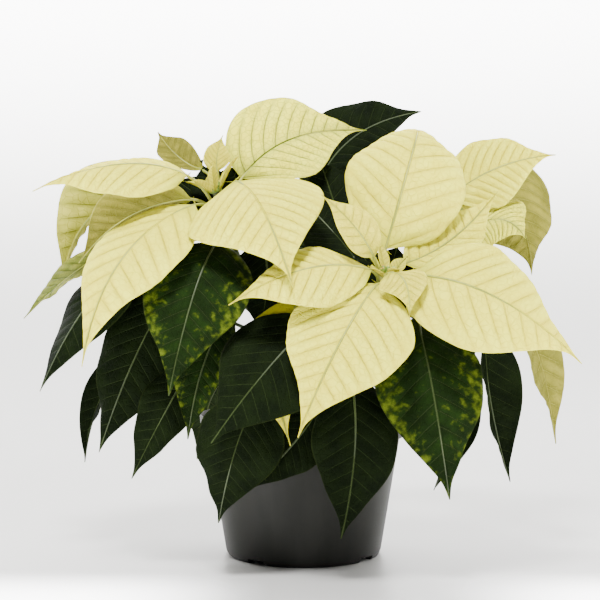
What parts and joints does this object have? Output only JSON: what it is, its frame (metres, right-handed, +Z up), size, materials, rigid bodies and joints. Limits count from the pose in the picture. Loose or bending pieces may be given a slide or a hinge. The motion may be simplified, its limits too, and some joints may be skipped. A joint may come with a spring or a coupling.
{
  "type": "potted poinsettia plant",
  "caption": "Bushy poinsettia with large cream bracts over dark green leaves, rooted in potting soil in a round tapered plastic nursery pot.",
  "frame": {"origin": "centre of the pot's foot, on the surface it stands on", "axes": "+Z up; -Y towards the viewer, the plant's best side; +X to the viewer's right"},
  "size_m": [0.4138, 0.3278, 0.3461],
  "materials": {
    "pot": "satin dark grey",
    "soil": "damp crumbly peat",
    "stem": "smooth green bark",
    "flower": "waxy yellow-green",
    "bract": "soft matt cream with fine veins",
    "leaf": "dark green with pale veins"
  },
  "bodies": {
    "root": {"nursery_pot": "pot", "potting_soil": "soil", "main_stem": "stem", "branch_left": "stem", "flowers_left": "flower", "branch_front": "stem", "flowers_front": "flower", "branch_right": "stem", "flowers_right": "flower", "branch_back": "stem", "flowers_back": "flower", "bract_left_front": "bract", "bract_left_upper": "bract", "bract_left_low": "bract", "bract_left_side": "bract", "bract_left_curled": "bract", "bract_left_inner": "bract", "bract_left_rear": "bract", "bract_left_top": "bract", "bract_left_turning": "bract", "bract_left_back": "bract", "bract_front_upright": "bract", "bract_front_left": "bract", "bract_front_low": "bract", "bract_front_right": "bract", "bract_front_small": "bract", "bract_front_tongue": "bract", "bract_front_rear": "bract", "bract_right_upper": "bract", "bract_right_round": "bract", "bract_right_drooping": "bract", "bract_right_hanging": "bract", "bract_right_back": "bract", "bract_back_rear": "bract", "bract_back_left": "bract", "bract_back_right": "bract", "bract_back_front": "bract", "bract_low_cream": "bract", "top_leaf": "leaf", "far_left_leaf": "leaf", "left_leaf": "leaf", "left_tucked_leaf": "leaf", "left_mottled_leaf": "leaf", "left_wavy_leaf": "leaf", "middle_mottled_leaf": "leaf", "middle_leaf": "leaf", "pot_left_leaf": "leaf", "pot_middle_leaf": "leaf", "pot_front_leaf": "leaf", "right_mottled_leaf": "leaf", "right_folded_leaf": "leaf", "right_curled_leaf": "leaf", "right_small_leaf": "leaf", "centre_leaf": "leaf", "behind_leaf": "leaf", "inner_leaf": "leaf", "rear_left_leaf": "leaf", "rear_right_leaf": "leaf", "rear_middle_leaf": "leaf", "rear_low_leaf": "leaf"}
  },
  "joints": []
}
